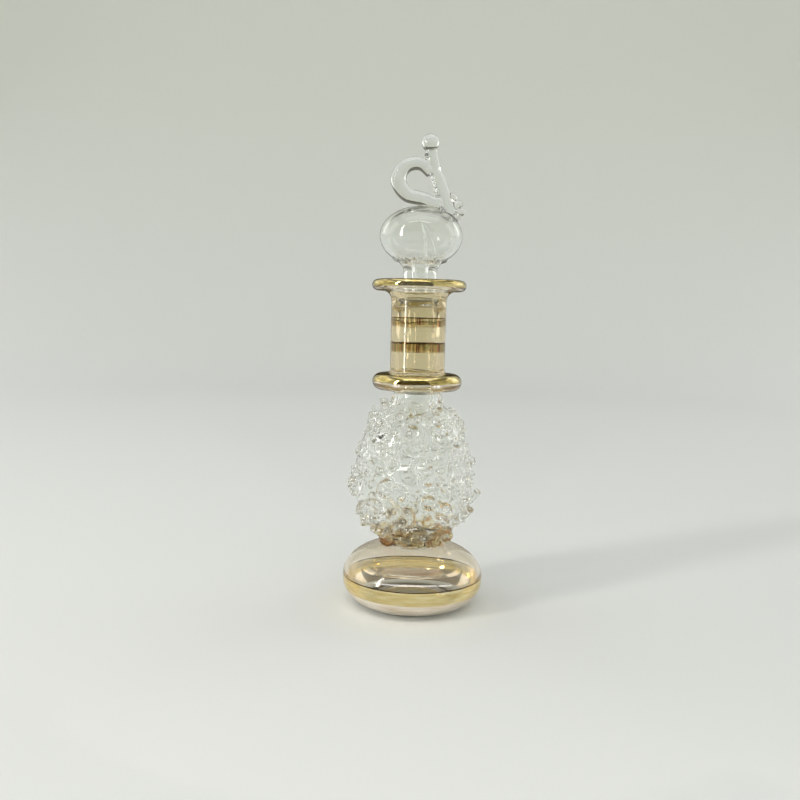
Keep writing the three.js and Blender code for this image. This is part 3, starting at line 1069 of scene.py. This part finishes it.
# %% [markdown]
# ## The bubble
# The bulb is a thin bubble, and a fine channel runs from it into the stem. Its wall is real here, because
# a solid bulb would turn the wall behind it upside down, and a thin one shows it nearly unchanged.

# %% Blow the bubble
CHANNEL = 1.3


def bubble_line():
    inner_r, inner_half = BULB_RADIUS - BULB_WALL, BULB_HALF - BULB_WALL
    low = -math.acos((CHANNEL + 0.9) / inner_r)
    start = (inner_r * math.cos(low), BULB_CENTRE + inner_half * math.sin(low))
    channel_top = (CHANNEL, start[1] - 1.6)
    return [
        (0, LIP_TOP - 2.0),
        *arc(0, LIP_TOP - 0.8, CHANNEL, 1.2, -math.pi / 2, 0, 6)[1:],
        channel_top,
        *bend(channel_top, (CHANNEL, start[1] - 0.2), start, 6),
        *arc(0, BULB_CENTRE, inner_r, inner_half, low, math.pi / 2, 40),
    ]


joined(stopper, piece_of(turned(bubble_line(), STOPPER_TURNS), "bubble", [flame_polished]), "DIFFERENCE")
print("stopper with its bubble:", len(stopper.data.polygons), "faces")

# %% [markdown]
# Tiny bubbles, called seeds, are caught in the thick glass under the bulb, and a thread of glass was drawn
# up inside it when the stem was melted on. They are small, but they say that this was made by hand.

# %% Seeds and the drawn-up thread in the bubble
SEEDS = 15
SEED_RING = (3.3, 3.9)
SEED_SIZE = (0.2, 0.34)
SEED_RISE = (0.65, 0.95)
seeds = bmesh.new()
seed_dice = random.Random(3)
for i in range(SEEDS):
    around = 2 * math.pi * (i + seed_dice.uniform(-0.25, 0.25)) / SEEDS
    out = seed_dice.uniform(*SEED_RING)
    size = seed_dice.uniform(*SEED_SIZE)
    droplet(seeds, round_at(out, around, BULB_BOTTOM + seed_dice.uniform(*SEED_RISE)), size)
joined(stopper, piece_of(seeds, "seeds", [flame_polished]), "DIFFERENCE")
thread = round_curve("thread", 6)
limb(thread, [
    (Vector((2.2, 0.3, BULB_BOTTOM + 0.9)), 1.6), (Vector((1.9, 0, BULB_CENTRE - 2)), 1.25),
    (Vector((1.2, -0.4, BULB_CENTRE + 0.8)), 0.8), (Vector((0.3, -0.6, BULB_CENTRE + 3.0)), 0.35),
    (Vector((-0.6, -0.6, BULB_CENTRE + 3.6)), 0.3),
])
drawn_up = bmesh.new()
drawn_up.from_mesh(tubes_of(thread))
bmesh.ops.remove_doubles(drawn_up, verts=drawn_up.verts, dist=1e-7)
bmesh.ops.recalc_face_normals(drawn_up, faces=drawn_up.faces)
joined(stopper, piece_of(drawn_up, "thread", [flame_polished]), "UNION")
print("stopper with seeds and thread:", len(stopper.data.polygons), "faces")

# %% [markdown]
# The dip rod was drawn by hand too, and it isn't quite straight. It leans to the right in the neck's bore.

# %% Bend the dip rod
def rod_bend(height):
    """How far the rod leans at a height: beside the bore's wall in the neck, and back again below."""
    marks = [
        (TIP, 0.0), (TIP + 3, 0.0), (54.0, 0.75), (58.0, 1.0), (65.0, 1.0), (THROAT_HEIGHT, 0.28),
        (BULB_BOTTOM, 0.1),
    ]
    for (low, a), (high, b) in zip(marks, marks[1:]):
        if low <= height < high:
            share = (height - low) / (high - low)
            return a + (b - a) * share * share * (3 - 2 * share)
    return 0.1 if height >= BULB_BOTTOM else 0.0


swayed(stopper, rod_bend)
print("stopper:", soften(stopper, 50), "triangles")

# %% [markdown]
# ## Riding and replacing
# Both pieces stand for their CAD solids. The stopper has no joint, so both ride on the one body.

# %% Tie the pieces to the frame
for piece, node, slot in ((flask, "flask", "flask_glass"), (stopper, "stopper", "stopper_glass")):
    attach(piece, "root")
    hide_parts(node)
    print(piece.name, "stands for", node)

# %% [markdown]
# ## Stage and light
# Clear glass shows only what surrounds it. The stage is a pale bowl: a flat floor that turns up into a
# wall on every side, so that the flask has the same pale ground from wherever it is looked at.

# %% The pale sweep
FLOOR_RADIUS = 0.55
WALL_RADIUS = 0.85
WALL_HEIGHT = 0.85


def sweep():
    """A floor that turns up into a wall, as one smooth sheet."""
    bm = bmesh.new()
    turn = WALL_RADIUS - FLOOR_RADIUS
    line = [(0, 0), (0.05, 0), (0.2, 0), (FLOOR_RADIUS, 0)]
    for i in range(1, 17):
        a = math.pi / 2 * i / 16
        line.append((FLOOR_RADIUS + turn * math.sin(a), turn * (1 - math.cos(a))))
    line.append((WALL_RADIUS, WALL_HEIGHT))
    corners = [bm.verts.new((r, 0, z)) for r, z in line]
    edges = [bm.edges.new(pair) for pair in zip(corners, corners[1:])]
    bmesh.ops.spin(
        bm, geom=corners + edges, cent=(0, 0, 0), axis=(0, 0, 1),
        angle=2 * math.pi, steps=128, use_merge=True,
    )
    bmesh.ops.remove_doubles(bm, verts=bm.verts, dist=1e-7)
    for face in bm.faces:
        face.smooth = True
        if face.normal.z < -0.001 or face.normal.dot(face.calc_center_median()) > 0:
            face.normal_flip()
    return bm


print("sweep:", round(2 * WALL_RADIUS, 2), "m across")

# %% [markdown]
# The stage is matt paper, nearly white. Up the wall its colour is painted a touch warmer and darker than
# on the floor, as painted shade for the wall that gets less light. Its height sets that tint, so there is no
# seam between the two.

# %% The paper
paper = new_material("matt_pale_paper")
paper_place = add(paper, "ShaderNodeTexCoord")
paper_split = add(paper, "ShaderNodeSeparateXYZ", None, {"Vector": paper_place.outputs["Object"]})
# Painted shade: the paper turns a touch darker and warmer with height up the wall.
painted_wall_shade = add(
    paper, "ShaderNodeMapRange",
    {"From Min": 0.0, "From Max": 0.35},
    {"Value": paper_split.outputs["Z"]},
)
paper_with_painted_shade = add(paper, "ShaderNodeMix", {"data_type": "RGBA"}, {"Factor": painted_wall_shade.outputs[0]})
paper_with_painted_shade.inputs[6].default_value = linear("#e4e6e4")
paper_with_painted_shade.inputs[7].default_value = linear("#dfe1d9")
paper_shader = add(
    paper, "ShaderNodeBsdfPrincipled",
    {"Roughness": 0.9, "Specular IOR Level": 0.2},
    {"Base Color": paper_with_painted_shade.outputs[2]},
)
finish_material(paper, paper_shader)
stage = piece_of(sweep(), "pale_sweep", [paper])
print(stage.name, len(stage.data.polygons), "faces")

# %% [markdown]
# ## Light
# The room has one tall window at the front left and pale light from above and all round. The window is
# narrow, so it draws a crisp line down the neck and throws the soft shadow to the right. Its head runs
# across the top and draws the thin white arcs on the lip and the collar. The bright edge of its sill is
# low and close, lights nothing, and draws the long arc on the foot, just above the gold.

# %% Lights
def area_light(name, place, aim, size, watts, colour):
    """A bright rectangle that faces a point, seen in reflections but not by the camera."""
    lamp = bpy.data.lights.new(name, "AREA")
    lamp.shape = "RECTANGLE"
    lamp.size, lamp.size_y = size
    lamp.energy = watts
    lamp.color = linear(colour)[:3]
    holder = bpy.data.objects.new(name, lamp)
    direction = Vector(aim) - Vector(place)
    holder.matrix_world = Matrix.Translation(place) @ direction.to_track_quat("-Z", "Y").to_matrix().to_4x4()
    holder.visible_camera = False
    bpy.context.scene.collection.objects.link(holder)
    return holder


area_light("window", (-0.44, -0.28, 0.24), (0, 0, 0.24), (0.05, 0.46), 1.45, "#fffcf6")
area_light("window_head", (-0.03, -0.26, 0.56), (0, 0, 0.03), (0.5, 0.035), 0.38, "#fffdf8")
area_light("left_panel", (-0.60, 0.25, 0.36), (0, 0, 0.06), (0.8, 0.6), 0.95, "#ffffff")
area_light("right_panel", (0.60, 0.30, 0.36), (0, 0, 0.06), (0.6, 0.5), 0.7, "#fbfdff")
area_light("ceiling", (0.0, 0.0, 1.1), (0, 0, 0), (1.2, 1.2), 3.8, "#fbfbff")
sill = area_light("sill", (0.01, -0.105, 0.049), (0.01, -0.105, 0), (0.40, 0.036), 0.63, "#fffdf8")
sill.visible_diffuse = False
sill.visible_transmission = False

world = bpy.data.worlds.new("room")
world.use_nodes = True
room = world.node_tree.nodes["Background"]
room.inputs["Color"].default_value = linear("#d8d8d2")
room.inputs["Strength"].default_value = 0.35
bpy.context.scene.world = world
print("lights:", len(bpy.data.lights))

# %% [markdown]
# ## Dark cards
# Bright metal and glass need something dark to mirror, or they look like plastic. In the room that was
# the unlit side behind the camera. Here it is dark felt that only reflections see. Two high cards in
# grey, seen only through the glass, are painted shade for the dimmer room round and above the flask, and
# they draw the thin dark lines round the threads.

# %% Dark cards for the reflections
CARD_LINE = [(0.085, 0.0015), (0.30, 0.0015), (0.36, 0.05), (0.37, 0.25), (0.34, 0.41), (0.30, 0.49)]
HIGH_LINE = [(0.38, 0.17), (0.36, 0.3), (0.27, 0.43), (0.1, 0.5)]


def card(name, line, middle, half, cloth, seen_through):
    """A bent sheet of cloth whose top rounds off to the floor at its two ends."""
    bm = bmesh.new()
    start = middle - half
    corners = [bm.verts.new((r * math.cos(start), r * math.sin(start), z)) for r, z in line]
    edges = [bm.edges.new(pair) for pair in zip(corners, corners[1:])]
    bmesh.ops.spin(
        bm, geom=corners + edges, cent=(0, 0, 0), axis=(0, 0, 1),
        angle=2 * half, steps=24,
    )
    for vert in bm.verts:
        turn = math.atan2(vert.co.y, vert.co.x) - middle
        vert.co.z = max(0.0015, vert.co.z * math.sqrt(max(0.0, 1 - (turn / half) ** 4)))
    piece = piece_of(bm, name, [cloth])
    piece.visible_camera = False
    piece.visible_diffuse = False
    piece.visible_transmission = seen_through
    piece.visible_glossy = not seen_through
    piece.visible_shadow = False


def felt(name, hex_colour):
    material = new_material(name)
    shader = add(
        material, "ShaderNodeBsdfPrincipled",
        {"Base Color": linear(hex_colour), "Roughness": 1.0, "Specular IOR Level": 0.0},
    )
    return finish_material(material, shader)


dark_felt = felt("dark_felt", "#3a352f")
# Painted shade: a grey sheet seen only through the glass, standing for the dimmer parts of the room.
grey_room_shade = felt("grey_room_shade", "#6e6b62")
card("card_front", CARD_LINE, math.radians(-100), math.radians(44), dark_felt, False)
card("card_back", CARD_LINE, math.radians(90), math.radians(20), dark_felt, False)
card("card_high", HIGH_LINE, math.radians(-90), math.radians(88), grey_room_shade, True)
card("card_above", HIGH_LINE[1:], math.radians(90), math.radians(75), grey_room_shade, True)
print("cards:", round(CARD_LINE[-1][1] * 1000), "and", round(HIGH_LINE[-1][1] * 1000), "mm tall")

# %% [markdown]
# ## Render settings
# Light crosses many walls of glass on its way, so the bounces are raised. Caustics stay on, because the
# light that the foot lets through is what brightens the floor below it. Bounced light is clamped, but so
# high that a mirrored window keeps its white.

# %% Render settings that belong to the look
scene = bpy.context.scene
scene.view_settings.view_transform = "Standard"
scene.view_settings.look = "None"
scene.cycles.max_bounces = 32
scene.cycles.transmission_bounces = 32
scene.cycles.glossy_bounces = 16
scene.cycles.diffuse_bounces = 5
scene.cycles.caustics_reflective = True
scene.cycles.caustics_refractive = True
scene.cycles.blur_glossy = 0.5
scene.cycles.sample_clamp_indirect = 14.0
scene.cycles.use_denoising = True
print("bounces:", scene.cycles.max_bounces)
